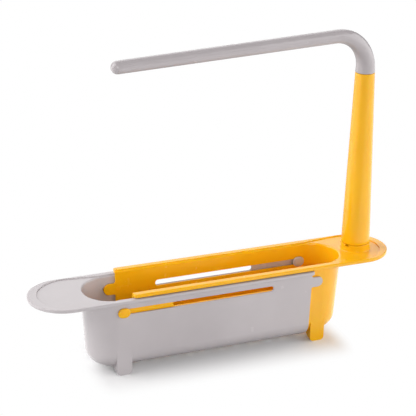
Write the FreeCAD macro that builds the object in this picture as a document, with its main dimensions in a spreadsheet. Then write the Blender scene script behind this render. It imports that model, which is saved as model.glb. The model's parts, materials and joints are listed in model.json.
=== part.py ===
"""Telescoping kitchen sink caddy: two nesting half trays, guide studs, a twist-lock post and a towel rail.

The origin lies on the floor under the middle of the closed caddy: +X runs to the post, +Y to the rear, +Z up.
Each tray is drawn with its closed end and shelf on the left; the inner tray is then turned end for end.
"""
import FreeCAD, Part
import math
import os
from types import SimpleNamespace

import Sketcher

# Driving sizes in millimetres; angles in degrees; shares are plain ratios
SIZES = {
    # Whole caddy, closed
    "half_length": 185.0,
    "wall": 1.8,
    "draft_share": 0.066,
    "slide_gap": 0.5,
    "stack_gap": 0.6,
    "overrun": 2.0,
    # Basin section and guide slots
    "floor_height": 5.2,
    "outer_floor_round": 17.0,
    "inner_floor_round": 16.0,
    "outer_half": 27.8,
    "slot_level": 67.4,
    "slot_width": 5.9,
    "slot_land": 43.9,
    "outer_shelf": 80.0,
    "inner_shelf": 77.7,
    # Rims and shelves
    "outer_flange": 7.2,
    "outer_rim_top": 81.6,
    "outer_rim_thick": 3.3,
    "outer_rim_tip": 9.6,
    "inner_flange": 5.2,
    "inner_rim_thick": 3.8,
    "inner_rim_tip": 8.0,
    "rim_side": 1.9,
    "rim_round": 0.9,
    "recess_depth": 1.0,
    "recess_round": 0.7,
    "lip_ledge": 1.8,
    "lip_round": 1.6,
    # Arm ends and tongues
    "outer_arm_short": 14.3,
    "inner_arm_short": 13.0,
    "arm_corner": 3.0,
    "tongue_reach": 11.7,
    "outer_tongue": 10.6,
    "inner_tongue": 11.4,
    "tongue_root": 1.8,
    "edge_round": 0.4,
    # Feet
    "foot_width": 15.0,
    "foot_toe": 2.6,
    "foot_heel": 12.5,
    "foot_corner": 4.0,
    "outer_foot_lead": 2.0,
    "outer_foot_top": 26.0,
    "inner_foot_lead": 3.9,
    "inner_foot_top": 22.5,
    # Gusset ribs under the outer shelf
    "rib_run": 5.5,
    "rib_drop": 6.0,
    "rib_thick": 1.8,
    "rib_angle": 52.0,
    # Drain slots in both floors
    "drain_length_share": 0.72,
    "drain_width": 3.0,
    "drain_row": 7.0,
    "drain_count": 6,
    # Guide studs
    "stud_setback": 2.8,
    "stud_skin": 0.6,
    "shank_radius": 2.0,
    "neck_play": 0.5,
    "head_gap": 0.4,
    "head_length": 12.2,
    "head_height": 10.0,
    "head_thick": 2.4,
    "head_round": 0.8,
    # Socket ring and post
    "post_setback": 31.8,
    "socket_radius": 14.65,
    "socket_height": 7.3,
    "socket_fillet": 0.8,
    "socket_edge": 0.4,
    "socket_ledge": 1.0,
    "socket_drain": 8.5,
    "running_fit": 0.1,
    "seam_gap": 0.3,
    "spigot_radius": 12.0,
    "post_length": 175.2,
    "post_bottom_radius": 14.3,
    "post_top_radius": 9.5,
    "post_wall": 2.0,
    "post_edge": 0.5,
    # Twist lock
    "lug_width": 4.0,
    "lug_height": 2.4,
    "lug_reach": 1.0,
    "lug_play": 0.3,
    "notch_depth": 2.0,
    "notch_angle": 29.0,
    "twist_angle": 40.0,
    # Towel rail
    "plug_radius": 7.3,
    "plug_length": 22.0,
    "rail_stub": 4.5,
    "bend_radius": 34.0,
    "run_start_radius": 6.45,
    "run_end_radius": 6.05,
    "rail_reach": 266.0,
    "rail_droop": 2.4,
    "rail_wall": 2.2,
    "swivel_angle": 6.0,
}


class Term:
    """A size, or a sum of sizes, that keeps its sheet expression and its present value together."""

    def __init__(self, text, value):
        self.text = text
        self.value = value

    def __add__(self, other):
        other = as_term(other)
        return Term(f"({self.text} + {other.text})", self.value + other.value)

    def __sub__(self, other):
        other = as_term(other)
        return Term(f"({self.text} - {other.text})", self.value - other.value)

    def __mul__(self, other):
        other = as_term(other)
        return Term(f"({self.text} * {other.text})", self.value * other.value)

    def __truediv__(self, other):
        other = as_term(other)
        return Term(f"({self.text} / {other.text})", self.value / other.value)

    def __neg__(self):
        return Term(f"(-{self.text})", -self.value)


def as_term(item):
    return item if isinstance(item, Term) else Term(str(item), item)


def root(term):
    return Term(f"sqrt({term.text})", math.sqrt(term.value))


ZERO = Term("0", 0.0)

doc = FreeCAD.newDocument("sink_caddy")
sheet = doc.addObject("Spreadsheet::Sheet", "sizes")
for row, (alias, number) in enumerate(SIZES.items(), start=1):
    sheet.set(f"A{row}", alias)
    sheet.set(f"B{row}", str(number))
    sheet.setAlias(f"B{row}", alias)
doc.recompute()
S = SimpleNamespace(**{alias: Term(f"sizes.{alias}", number) for alias, number in SIZES.items()})

# Places that several pieces share
SLOT_RADIUS = S.slot_width / 2
OUTER_END = S.half_length - S.outer_shelf
INNER_END = S.half_length - S.inner_shelf
OUTER_ARM_END = INNER_END - S.outer_arm_short
INNER_ARM_END = OUTER_END - S.inner_arm_short
OUTER_STUD_X = OUTER_ARM_END + S.tongue_reach - S.stud_setback
INNER_STUD_X = INNER_ARM_END + S.tongue_reach - S.stud_setback
POST_PLACE = S.half_length - S.post_setback
INNER_HALF = S.outer_half - S.wall - S.slide_gap
INNER_RIM_TOP = S.outer_rim_top + S.stack_gap + S.inner_rim_thick
SHELF_LEVEL = INNER_RIM_TOP - S.recess_depth
SOCKET_TOP = SHELF_LEVEL + S.socket_height
SPIGOT_END = INNER_RIM_TOP - S.inner_rim_thick + S.socket_ledge + S.seam_gap
POST_BASE = SOCKET_TOP + S.seam_gap
POST_TOP = POST_BASE + S.post_length
BORE_RADIUS = S.spigot_radius + S.running_fit
LUG_LEVEL = SPIGOT_END + S.seam_gap + S.lug_play


def bind(item, prop, term):
    item.setExpression(prop, term.text)


def new_body(label):
    body = doc.addObject("PartDesign::Body", label)
    body.Label = label
    return body


def origin_plane(body, role):
    return next(part for part in body.Origin.OriginFeatures if part.Role == role)


def new_sketch(body, name, role, level=ZERO, shift=ZERO, rise=ZERO, turn=None, turn_axis=(0, 0, 1)):
    """A sketch on an origin plane, lifted by level, moved in it by shift and rise, turned about turn_axis."""
    sketch = body.newObject("Sketcher::SketchObject", name)
    sketch.AttachmentSupport = [(origin_plane(body, role), "")]
    sketch.MapMode = "FlatFace"
    if turn is not None:
        spin = FreeCAD.Rotation(FreeCAD.Vector(*turn_axis), turn.value)
        sketch.AttachmentOffset = FreeCAD.Placement(FreeCAD.Vector(), spin)
        bind(sketch, "AttachmentOffset.Rotation.Angle", turn)
    bind(sketch, "AttachmentOffset.Base.x", shift)
    bind(sketch, "AttachmentOffset.Base.y", rise)
    bind(sketch, "AttachmentOffset.Base.z", level)
    return sketch


def fix(sketch, kind, refs, term):
    """Add a dimension whose value follows the sheet; a negative span is measured the other way round."""
    if term.value < 0 and len(refs) == 4:
        refs = refs[2:] + refs[:2]
        term = -term
    index = sketch.addConstraint(Sketcher.Constraint(kind, *refs, term.value))
    sketch.setExpression(f"Constraints[{index}]", term.text)


def fix_point(sketch, geo, pos, x, y):
    """Hold a point of the sketch at a place given from the sketch's origin."""
    for kind, term, axis in (("DistanceX", x, -2), ("DistanceY", y, -1)):
        if term is ZERO:
            sketch.addConstraint(Sketcher.Constraint("PointOnObject", geo, pos, axis))
        else:
            fix(sketch, kind, (-1, 1, geo, pos), term)


def vector(x, y):
    return FreeCAD.Vector(x.value, y.value, 0)


def add_polygon(sketch, points):
    """A closed outline of straight lines through points given as pairs of terms."""
    first = sketch.GeometryCount
    count = len(points)
    for index, point in enumerate(points):
        sketch.addGeometry(Part.LineSegment(vector(*point), vector(*points[(index + 1) % count])))
    for index, point in enumerate(points):
        sketch.addConstraint(
            Sketcher.Constraint("Coincident", first + index, 2, first + (index + 1) % count, 1))
        fix_point(sketch, first + index, 1, *point)


def add_circle(sketch, x, y, radius):
    geo = sketch.addGeometry(Part.Circle(vector(x, y), FreeCAD.Vector(0, 0, 1), radius.value))
    fix_point(sketch, geo, 3, x, y)
    fix(sketch, "Radius", (geo,), radius)


def add_stadium(sketch, start, end, y, radius):
    """A slot outline: two half circles round start and end, joined by straight sides along X."""
    normal = FreeCAD.Vector(0, 0, 1)
    left = sketch.addGeometry(Part.ArcOfCircle(
        Part.Circle(vector(start, y), normal, radius.value), math.pi / 2, 3 * math.pi / 2))
    right = sketch.addGeometry(Part.ArcOfCircle(
        Part.Circle(vector(end, y), normal, radius.value), -math.pi / 2, math.pi / 2))
    low = sketch.addGeometry(Part.LineSegment(vector(start, y - radius), vector(end, y - radius)))
    high = sketch.addGeometry(Part.LineSegment(vector(end, y + radius), vector(start, y + radius)))
    for first, first_end, second, second_end in (
            (left, 2, low, 1), (low, 2, right, 1), (right, 2, high, 1), (high, 2, left, 1)):
        sketch.addConstraint(Sketcher.Constraint("Tangent", first, first_end, second, second_end))
    sketch.addConstraint(Sketcher.Constraint("Equal", left, right))
    fix_point(sketch, left, 3, start, y)
    fix(sketch, "DistanceX", (left, 3, right, 3), end - start)
    fix(sketch, "Radius", (left,), radius)


def add_u_outline(sketch, centre, radius, end):
    """A half circle about (-centre, 0) with straight sides that run to x = end."""
    left = -centre
    arc = sketch.addGeometry(Part.ArcOfCircle(
        Part.Circle(vector(left, ZERO), FreeCAD.Vector(0, 0, 1), radius.value), math.pi / 2, 3 * math.pi / 2))
    rear = sketch.addGeometry(Part.LineSegment(vector(left, radius), vector(end, radius)))
    close = sketch.addGeometry(Part.LineSegment(vector(end, radius), vector(end, -radius)))
    front = sketch.addGeometry(Part.LineSegment(vector(end, -radius), vector(left, -radius)))
    sketch.addConstraint(Sketcher.Constraint("Tangent", arc, 1, rear, 1))
    sketch.addConstraint(Sketcher.Constraint("Coincident", rear, 2, close, 1))
    sketch.addConstraint(Sketcher.Constraint("Coincident", close, 2, front, 1))
    sketch.addConstraint(Sketcher.Constraint("Tangent", front, 2, arc, 2))
    sketch.addConstraint(Sketcher.Constraint("Horizontal", rear))
    sketch.addConstraint(Sketcher.Constraint("Horizontal", front))
    sketch.addConstraint(Sketcher.Constraint("Vertical", close))
    fix_point(sketch, arc, 3, left, ZERO)
    fix(sketch, "Radius", (arc,), radius)
    fix(sketch, "DistanceX", (-1, 1, close, 1), end)


def add_side(sketch, left, half_at, low, high, radius):
    """A leaning wall that rounds into the floor, left or right; gives back its arc, wall and centre."""
    slope = S.draft_share
    secant = root(slope * slope + 1)
    lean_angle = math.atan(slope.value)
    centre = half_at(low) + slope * radius - radius * secant
    centre_level = low + radius
    toe = centre + radius / secant
    toe_level = centre_level - radius * slope / secant
    top = half_at(high)
    sweep = (-math.pi / 2, -lean_angle)
    if left:
        centre, toe, top = -centre, -toe, -top
        sweep = (math.pi + lean_angle, 3 * math.pi / 2)
    arc = sketch.addGeometry(Part.ArcOfCircle(
        Part.Circle(vector(centre, centre_level), FreeCAD.Vector(0, 0, 1), radius.value), *sweep))
    wall = sketch.addGeometry(Part.LineSegment(vector(toe, toe_level), vector(top, high)))
    if left:
        sketch.addConstraint(Sketcher.Constraint("Tangent", arc, 1, wall, 1))
    else:
        sketch.addConstraint(Sketcher.Constraint("Tangent", arc, 2, wall, 1))
    fix_point(sketch, arc, 3, centre, centre_level)
    fix(sketch, "Radius", (arc,), radius)
    fix_point(sketch, wall, 2, top, high)
    return arc, wall, centre


def add_full_section(sketch, half_at, low, high, radius):
    """The basin's section across X: flat floor, two round corners, two leaning walls and a top line."""
    left_arc, left_wall, left = add_side(sketch, True, half_at, low, high, radius)
    right_arc, right_wall, right = add_side(sketch, False, half_at, low, high, radius)
    floor = sketch.addGeometry(Part.LineSegment(vector(left, low), vector(right, low)))
    top = half_at(high)
    lid = sketch.addGeometry(Part.LineSegment(vector(-top, high), vector(top, high)))
    sketch.addConstraint(Sketcher.Constraint("Tangent", left_arc, 2, floor, 1))
    sketch.addConstraint(Sketcher.Constraint("Tangent", floor, 2, right_arc, 1))
    sketch.addConstraint(Sketcher.Constraint("Coincident", lid, 1, left_wall, 2))
    sketch.addConstraint(Sketcher.Constraint("Coincident", lid, 2, right_wall, 2))


def add_half_section(sketch, half_at, low, high, radius):
    """The left half of the basin's section, closed along the upright axis of the sketch."""
    arc, wall, centre = add_side(sketch, True, half_at, low, high, radius)
    floor = sketch.addGeometry(Part.LineSegment(vector(centre, low), vector(ZERO, low)))
    axis = sketch.addGeometry(Part.LineSegment(vector(ZERO, low), vector(ZERO, high)))
    lid = sketch.addGeometry(Part.LineSegment(vector(ZERO, high), vector(-half_at(high), high)))
    sketch.addConstraint(Sketcher.Constraint("Tangent", arc, 2, floor, 1))
    sketch.addConstraint(Sketcher.Constraint("Coincident", floor, 2, axis, 1))
    sketch.addConstraint(Sketcher.Constraint("Coincident", axis, 2, lid, 1))
    sketch.addConstraint(Sketcher.Constraint("Coincident", lid, 2, wall, 2))
    fix_point(sketch, axis, 1, ZERO, low)
    fix_point(sketch, axis, 2, ZERO, high)


VOLUMES = {}


def settle(body, feature, grows):
    """Recompute, and make sure that the feature added to the body or took from it."""
    doc.recompute()
    before = VOLUMES.get(body.Name, 0.0)
    after = 0.0 if body.Shape.isNull() else body.Shape.Volume
    if "Invalid" in feature.State or after == before or (after > before) != grows:
        raise RuntimeError(f"{body.Label}: {feature.Name} went from {before} to {after}")
    VOLUMES[body.Name] = after
    return feature


def pad(body, name, sketch, length, symmetric=False, reverse=False):
    feature = body.newObject("PartDesign::Pad", name)
    feature.Profile = sketch
    bind(feature, "Length", length)
    if symmetric:
        feature.SideType = "Symmetric"
    feature.Reversed = reverse
    return settle(body, feature, grows=True)


def pocket(body, name, sketch, length=None, symmetric=False, reverse=False):
    """Cut by a length, or right through when none is given."""
    feature = body.newObject("PartDesign::Pocket", name)
    feature.Profile = sketch
    if length is None:
        feature.Type = "ThroughAll"
    else:
        bind(feature, "Length", length)
    if symmetric:
        feature.SideType = "Symmetric"
    feature.Reversed = reverse
    return settle(body, feature, grows=False)


def loft(body, name, kind, profile, section):
    feature = body.newObject(f"PartDesign::{kind}Loft", name)
    feature.Profile = profile
    feature.Sections = [section]
    feature.Ruled = True
    return settle(body, feature, grows=kind == "Additive")


def pipe(body, name, kind, spine, profile, section):
    """A round bar or bore along a spine whose radius runs evenly from the first circle to the last."""
    feature = body.newObject(f"PartDesign::{kind}Pipe", name)
    feature.Profile = profile
    feature.Spine = spine
    feature.Sections = [section]
    feature.Transformation = "Multisection"
    return settle(body, feature, grows=kind == "Additive")


FULL_ANGLE = 360
HALF_ANGLE = 180


def revolve(body, name, kind, sketch, angle, axis="V_Axis"):
    """Turn a sketch about one of its own axes, evenly to both sides of its plane."""
    feature = body.newObject(f"PartDesign::{kind}", name)
    feature.Profile = sketch
    feature.ReferenceAxis = (sketch, [axis])
    feature.Angle = angle
    feature.Midplane = True
    return settle(body, feature, grows=kind == "Revolution")


def round_edges(body, name, test, radius, concave=False):
    """Fillet each edge of the body's tip that passes the test."""
    base = body.Tip
    picked = [f"Edge{index}" for index, edge in enumerate(base.Shape.Edges, start=1) if test(edge)]
    if not picked:
        raise RuntimeError(f"{body.Label}: no edge for {name}")
    feature = body.newObject("PartDesign::Fillet", name)
    feature.Base = (base, picked)
    bind(feature, "Radius", radius)
    return settle(body, feature, grows=concave)


def mirror(body, name, feature):
    """Repeat a feature on the other side of the middle plane."""
    twin = body.newObject("PartDesign::Mirrored", name)
    twin.Originals = [feature]
    twin.MirrorPlane = (origin_plane(body, "XZ_Plane"), [""])
    body.Tip = twin
    return settle(body, twin, grows="Pocket" not in feature.TypeId)


NEAR = 1e-4


def same(first, second):
    return abs(first - second) < NEAR


def lies_on(edge, test):
    """True for an edge whose points all pass the test; an edge that is only a point does not count."""
    return edge.Length > NEAR and all(map(test, edge.discretize(5)))


def flat_at(edge, level):
    """True for an edge that lies in the horizontal plane at level."""
    return lies_on(edge, lambda point: same(point.z, level.value))


def middle(edge):
    return edge.valueAt((edge.FirstParameter + edge.LastParameter) / 2)


def along_y(edge, x, z):
    """True for a straight edge along Y at the given x and z."""
    ends = [vertex.Point for vertex in edge.Vertexes]
    return len(ends) == 2 and all(same(end.x, x.value) and same(end.z, z.value) for end in ends)


def build_tray(label, side):
    """One half tray: rim plate, drafted basin, feet, hollow, recess, guide slots, arm ends and drains."""
    body = new_body(label)
    under = side.rim_top - side.rim_thick
    inside_floor = side.floor + S.wall
    tip_centre = S.half_length - side.rim_half
    tongue_tip = side.arm_end + S.tongue_reach
    blank_end = tongue_tip + S.overrun
    cut_end = blank_end + S.overrun
    above = side.rim_top + S.overrun

    def half_at(level):
        return side.half + (level - S.slot_level) * S.draft_share

    # Rim plate
    plate = new_sketch(body, "plate_outline", "XY_Plane", under)
    add_u_outline(plate, tip_centre, side.rim_half, blank_end)
    pad(body, "plate", plate, side.rim_thick)

    # Basin: the straight part, and the closed end as half a turn of the same section
    def section(name, inset, low, high, radius):
        def half_inside(level):
            return half_at(level) - inset

        straight = new_sketch(body, f"{name}_section", "YZ_Plane", -side.end_centre)
        add_full_section(straight, half_inside, low, high, radius)
        turned = new_sketch(body, f"{name}_end_section", "XZ_Plane", shift=-side.end_centre)
        add_half_section(turned, half_inside, low, high, radius)
        return straight, turned

    straight, turned = section("basin", ZERO, side.floor, side.rim_top, side.floor_round)
    pad(body, "basin", straight, side.end_centre + blank_end)
    revolve(body, "basin_end", "Revolution", turned, HALF_ANGLE)

    # Feet: flush with the leaning wall at their top, proud of it below
    foot_face = half_at(side.foot_top)
    foot = new_sketch(body, "foot_profile", "YZ_Plane", -side.foot_far)
    heel = S.foot_heel - foot_face
    add_polygon(foot, [
        (-foot_face, side.foot_top), (-foot_face, ZERO), (S.foot_toe - foot_face, ZERO),
        (heel, side.floor + S.wall / 2), (heel, side.foot_top)])
    foot_pad = pad(body, "front_foot", foot, S.foot_width)
    mirror(body, "rear_foot", foot_pad)

    def foot_edge(edge):
        edges_x = (-side.foot_far, S.foot_width - side.foot_far)
        return any(along_y(edge, x, ZERO) for x in edges_x)

    round_edges(body, "foot_round", foot_edge, S.foot_corner)

    # Hollow, one wall inside the basin
    straight, turned = section("hollow", S.wall, inside_floor, above, side.floor_round - S.wall)
    pocket(body, "hollow", straight, side.end_centre + cut_end, reverse=True)
    revolve(body, "hollow_end", "Groove", turned, HALF_ANGLE)

    # Shelf recess: a narrow rim along the sides, a crescent at the tip, a ledge round the hollow
    recess_floor = side.rim_top - S.recess_depth
    recess_half = side.rim_half - S.rim_side
    recess_centre = S.half_length - side.rim_tip - recess_half
    ledge_half = half_at(side.rim_top) - S.wall + S.lip_ledge
    recess = new_sketch(body, "recess_outline", "XY_Plane", side.rim_top)
    add_recess(recess, recess_centre, recess_half, side.end_centre, ledge_half, cut_end)
    pocket(body, "recess", recess, S.recess_depth)

    def on_outline(point):
        on_end = same(point.x, blank_end.value)
        on_side = same(abs(point.y), side.rim_half.value)
        on_tip = same(math.hypot(point.x + tip_centre.value, point.y), side.rim_half.value)
        return on_end or on_side or on_tip

    def recess_edge(edge):
        return flat_at(edge, side.rim_top) and not lies_on(edge, on_outline)

    round_edges(body, "recess_round", recess_edge, S.recess_round)

    def lip_edge(edge):
        reach = half_at(recess_floor).value - S.wall.value
        spot = middle(edge)
        round_part = same(math.hypot(spot.x + side.end_centre.value, spot.y), reach)
        straight_part = same(abs(spot.y), reach)
        return flat_at(edge, recess_floor) and (round_part or straight_part)

    round_edges(body, "lip_round", lip_edge, S.lip_round)

    # Guide slots through both arms
    slot = new_sketch(body, "slot_outline", "XZ_Plane")
    add_stadium(slot, -side.runner_x, side.arm_end - S.slot_land, S.slot_level, SLOT_RADIUS)
    pocket(body, "guide_slots", slot, symmetric=True)

    # Arm ends with a round tongue at slot height
    ends = new_sketch(body, "arm_end_outline", "XZ_Plane")
    add_arm_end(ends, side.arm_end, tongue_tip, side.tongue, above, cut_end)
    pocket(body, "arm_ends", ends, symmetric=True)
    tongue_levels = (S.slot_level - side.tongue / 2, S.slot_level + side.tongue / 2)

    def root_edge(edge):
        return any(along_y(edge, side.arm_end, level) or (
            same(middle(edge).x, side.arm_end.value) and flat_at(edge, level)) for level in tongue_levels)

    round_edges(body, "tongue_roots", root_edge, S.tongue_root, concave=True)

    def corner_edge(edge):
        spot = middle(edge)
        upright = same(edge.Vertexes[0].X, edge.Vertexes[-1].X) and len(edge.Vertexes) == 2
        return upright and same(spot.x, side.arm_end.value) and same(abs(spot.y), side.rim_half.value)

    round_edges(body, "arm_corners", corner_edge, S.arm_corner)

    def rim_edge(edge):
        spot = middle(edge)
        on_tip = same(math.hypot(spot.x + tip_centre.value, spot.y), side.rim_half.value)
        on_rim = spot.x < -tip_centre.value and on_tip
        return on_rim and (flat_at(edge, side.rim_top) or flat_at(edge, under))

    round_edges(body, "rim_round", rim_edge, S.rim_round)

    # Softened edges of the slots, arm ends and tongues, on both faces of the wall
    slot_start = -side.runner_x - SLOT_RADIUS
    slot_end = side.arm_end - S.slot_land + SLOT_RADIUS

    def on_wall_face(point):
        outside = half_at(as_term(point.z)).value
        return same(abs(point.y), outside) or same(abs(point.y), outside - S.wall.value)

    def in_slot(point):
        in_band = abs(point.z - S.slot_level.value) < SLOT_RADIUS.value + NEAR
        return in_band and slot_start.value - NEAR < point.x < slot_end.value + NEAR

    def at_end(point):
        return point.x > side.arm_end.value - NEAR

    def soft_edge(edge):
        return (lies_on(edge, at_end) or lies_on(edge, in_slot)) and lies_on(edge, on_wall_face)

    round_edges(body, "soft_edges", soft_edge, S.edge_round)

    # Blind seats of the guide studs, open on the side where the stud's head is
    face = half_at(S.slot_level)
    from_level = face + S.overrun if side.heads_outside else face - S.wall - S.overrun
    seat = new_sketch(body, "stud_seat_outline", "XZ_Plane", from_level)
    add_circle(seat, side.stud_x, S.slot_level, S.shank_radius)
    seat_depth = S.overrun + S.wall - S.stud_skin
    front_seat = pocket(body, "front_stud_seat", seat, seat_depth, reverse=not side.heads_outside)
    mirror(body, "rear_stud_seat", front_seat)

    # Drain slots, a short block of three repeated along the floor
    drains = new_sketch(body, "drain_outline", "XY_Plane", side.floor)
    pitch = (side.end_centre + side.arm_end) / S.drain_count
    length = pitch * S.drain_length_share
    start = (pitch - length + S.drain_width) / 2 - side.end_centre
    for place in (-S.drain_row, ZERO, S.drain_row):
        add_stadium(drains, start, start + length - S.drain_width, place, S.drain_width / 2)
    block = pocket(body, "drain_block", drains, S.wall + S.overrun, reverse=True)
    row_of_drains = body.newObject("PartDesign::LinearPattern", "drain_slots")
    row_of_drains.Originals = [block]
    row_of_drains.Direction = (drains, ["H_Axis"])
    row_of_drains.Mode = "Extent"
    bind(row_of_drains, "Length", pitch * (S.drain_count - 1))
    bind(row_of_drains, "Occurrences", S.drain_count)
    body.Tip = row_of_drains
    settle(body, row_of_drains, grows=False)
    return body


def add_recess(sketch, centre, half, shoulder, ledge, end):
    """A round tip whose sides draw in to the ledge at the shoulder and then run straight to the end."""
    tip_circle = Part.Circle(vector(-centre, ZERO), FreeCAD.Vector(0, 0, 1), half.value)
    tip = sketch.addGeometry(Part.ArcOfCircle(tip_circle, math.pi / 2, 3 * math.pi / 2))
    rear_in = sketch.addGeometry(Part.LineSegment(vector(-centre, half), vector(-shoulder, ledge)))
    rear = sketch.addGeometry(Part.LineSegment(vector(-shoulder, ledge), vector(end, ledge)))
    close = sketch.addGeometry(Part.LineSegment(vector(end, ledge), vector(end, -ledge)))
    front = sketch.addGeometry(Part.LineSegment(vector(end, -ledge), vector(-shoulder, -ledge)))
    front_in = sketch.addGeometry(Part.LineSegment(vector(-shoulder, -ledge), vector(-centre, -half)))
    sketch.addConstraint(Sketcher.Constraint("Tangent", tip, 1, rear_in, 1))
    sketch.addConstraint(Sketcher.Constraint("Tangent", front_in, 2, tip, 2))
    for first, second in ((rear_in, rear), (rear, close), (close, front), (front, front_in)):
        sketch.addConstraint(Sketcher.Constraint("Coincident", first, 2, second, 1))
    fix_point(sketch, tip, 3, -centre, ZERO)
    fix(sketch, "Radius", (tip,), half)
    fix_point(sketch, rear, 1, -shoulder, ledge)
    fix_point(sketch, close, 1, end, ledge)
    fix_point(sketch, front, 1, end, -ledge)
    fix_point(sketch, front_in, 1, -shoulder, -ledge)


def add_arm_end(sketch, arm_end, tip, height, above, far):
    """What is cut away beyond the arm: all but a round-ended tongue at slot height."""
    radius = height / 2
    low = S.slot_level - radius
    high = S.slot_level + radius
    nose_x = tip - radius
    below = -S.overrun
    nose_circle = Part.Circle(vector(nose_x, S.slot_level), FreeCAD.Vector(0, 0, 1), radius.value)
    nose = sketch.addGeometry(Part.ArcOfCircle(nose_circle, -math.pi / 2, math.pi / 2))
    path = [(nose_x, high), (arm_end, high), (arm_end, above), (far, above), (far, below), (arm_end, below),
            (arm_end, low), (nose_x, low)]
    lines = [sketch.addGeometry(Part.LineSegment(vector(*first), vector(*second)))
             for first, second in zip(path, path[1:])]
    for first, second in zip(lines, lines[1:]):
        sketch.addConstraint(Sketcher.Constraint("Coincident", first, 2, second, 1))
    sketch.addConstraint(Sketcher.Constraint("Tangent", nose, 2, lines[0], 1))
    sketch.addConstraint(Sketcher.Constraint("Tangent", lines[-1], 2, nose, 1))
    fix_point(sketch, nose, 3, nose_x, S.slot_level)
    fix(sketch, "Radius", (nose,), radius)
    for line, point in zip(lines[1:], path[1:]):
        if point[1] is high or point[1] is low:
            fix(sketch, "DistanceX", (-1, 1, line, 1), point[0])
            level_line = lines[0] if point[1] is high else lines[-1]
            sketch.addConstraint(Sketcher.Constraint("Horizontal", level_line))
        else:
            fix_point(sketch, line, 1, *point)


def add_ribs(body, side):
    """Two small gussets between the round end of the basin and the underside of the shelf."""
    under = side.rim_top - side.rim_thick
    foot_level = under - S.rib_drop
    inset = S.wall / 2
    wall_top = side.half + (under - S.slot_level) * S.draft_share
    wall_foot = side.half + (foot_level - S.slot_level) * S.draft_share
    top = under + side.rim_thick / 2
    rib = new_sketch(body, "rib_profile", "XZ_Plane", shift=-side.end_centre, turn=S.rib_angle,
                     turn_axis=(0, 1, 0))
    add_polygon(rib, [
        (inset - wall_top, top), (-(wall_top + S.rib_run), top), (-(wall_top + S.rib_run), under),
        (inset - wall_foot, foot_level)])
    rib_pad = pad(body, "first_rib", rib, S.rib_thick, symmetric=True)
    mirror(body, "second_rib", rib_pad)


def add_socket(body):
    """The ring on the shelf that takes the post, with its twist-lock channel, two entries and a notch."""
    place = -POST_PLACE
    ring = new_sketch(body, "socket_outline", "XY_Plane", SHELF_LEVEL - S.recess_depth / 2)
    add_circle(ring, place, ZERO, S.socket_radius)
    pad(body, "socket_ring", ring, S.socket_height + S.recess_depth / 2)
    bore = new_sketch(body, "socket_bore_outline", "XY_Plane", SOCKET_TOP)
    add_circle(bore, place, ZERO, BORE_RADIUS)
    ledge_level = SPIGOT_END - S.seam_gap
    pocket(body, "socket_bore", bore, SOCKET_TOP - ledge_level)
    hole = new_sketch(body, "socket_drain_outline", "XY_Plane", SOCKET_TOP)
    add_circle(hole, place, ZERO, S.socket_drain)
    pocket(body, "socket_drain", hole, SOCKET_TOP - ledge_level + S.socket_ledge + S.overrun)

    # Channel round the bore for the lugs
    reach = S.spigot_radius + S.lug_reach + S.lug_play
    low = LUG_LEVEL - S.lug_play
    high = LUG_LEVEL + S.lug_height + S.lug_play
    channel = new_sketch(body, "channel_profile", "XZ_Plane", shift=place)
    inner = S.spigot_radius - S.running_fit
    add_polygon(channel, [(inner, low), (reach, low), (reach, high), (inner, high)])
    revolve(body, "channel", "Groove", channel, FULL_ANGLE)

    # Entries for the two lugs, and the notch that marks one of them
    entry_half = S.lug_width / 2 + S.lug_play
    entry = new_sketch(body, "entry_outline", "XY_Plane", SOCKET_TOP, shift=place, turn=S.notch_angle)
    add_polygon(entry, [
        (-reach, -entry_half), (reach, -entry_half), (reach, entry_half), (-reach, entry_half)])
    pocket(body, "entries", entry, SOCKET_TOP - low)
    notch = new_sketch(body, "notch_outline", "XY_Plane", SOCKET_TOP, shift=place, turn=S.notch_angle)
    outside = S.socket_radius + S.overrun
    add_polygon(notch, [
        (ZERO, -entry_half), (outside, -entry_half), (outside, entry_half), (ZERO, entry_half)])
    pocket(body, "notch", notch, S.notch_depth)

    # Rounded foot and upper edge of the ring
    def on_ring(point):
        return same(math.hypot(point.x + POST_PLACE.value, point.y), S.socket_radius.value)

    def ring_edge(edge, level):
        return flat_at(edge, level) and lies_on(edge, on_ring)

    round_edges(body, "socket_foot", lambda edge: ring_edge(edge, SHELF_LEVEL), S.socket_fillet, concave=True)
    round_edges(body, "socket_rim", lambda edge: ring_edge(edge, SOCKET_TOP), S.socket_edge)


def build_stud(label, x, half, outward, front):
    """A guide stud: shank seated in a tongue, neck through the other tray's slot, oval head beyond it.

    The stud stands square to the leaning wall; its zero is the middle of the tongue's wall.
    """
    body = new_body(label)
    neck_start = S.wall / 2
    neck_length = S.slide_gap + S.wall + S.head_gap
    shank = new_sketch(body, "shank_outline", "XY_Plane", S.stud_skin - neck_start)
    add_circle(shank, ZERO, ZERO, S.shank_radius)
    pad(body, "shank", shank, S.wall - S.stud_skin)
    neck = new_sketch(body, "neck_outline", "XY_Plane", neck_start)
    add_circle(neck, ZERO, ZERO, SLOT_RADIUS - S.neck_play)
    pad(body, "neck", neck, neck_length)
    head_level = neck_start + neck_length
    head = new_sketch(body, "head_outline", "XY_Plane", head_level)
    radius = S.head_height / 2
    reach = (S.head_length - S.head_height) / 2
    add_stadium(head, -reach, reach, ZERO, radius)
    pad(body, "head", head, S.head_thick)
    round_edges(body, "head_round", lambda edge: flat_at(edge, head_level + S.head_thick), S.head_round)

    lean = Term("atan(sizes.draft_share)", math.degrees(math.atan(S.draft_share.value)))
    right_angle = Term("90 deg", 90.0)
    turn = right_angle + lean if outward else right_angle - lean
    if front != outward:
        turn = -turn
    tilt = FreeCAD.Rotation(FreeCAD.Vector(1, 0, 0), turn.value)
    body.Placement = FreeCAD.Placement(FreeCAD.Vector(), tilt)
    spread = half - S.wall / 2
    bind(body, "Placement.Base.x", x)
    bind(body, "Placement.Base.y", -spread if front else spread)
    bind(body, "Placement.Base.z", S.slot_level)
    return body


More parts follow.
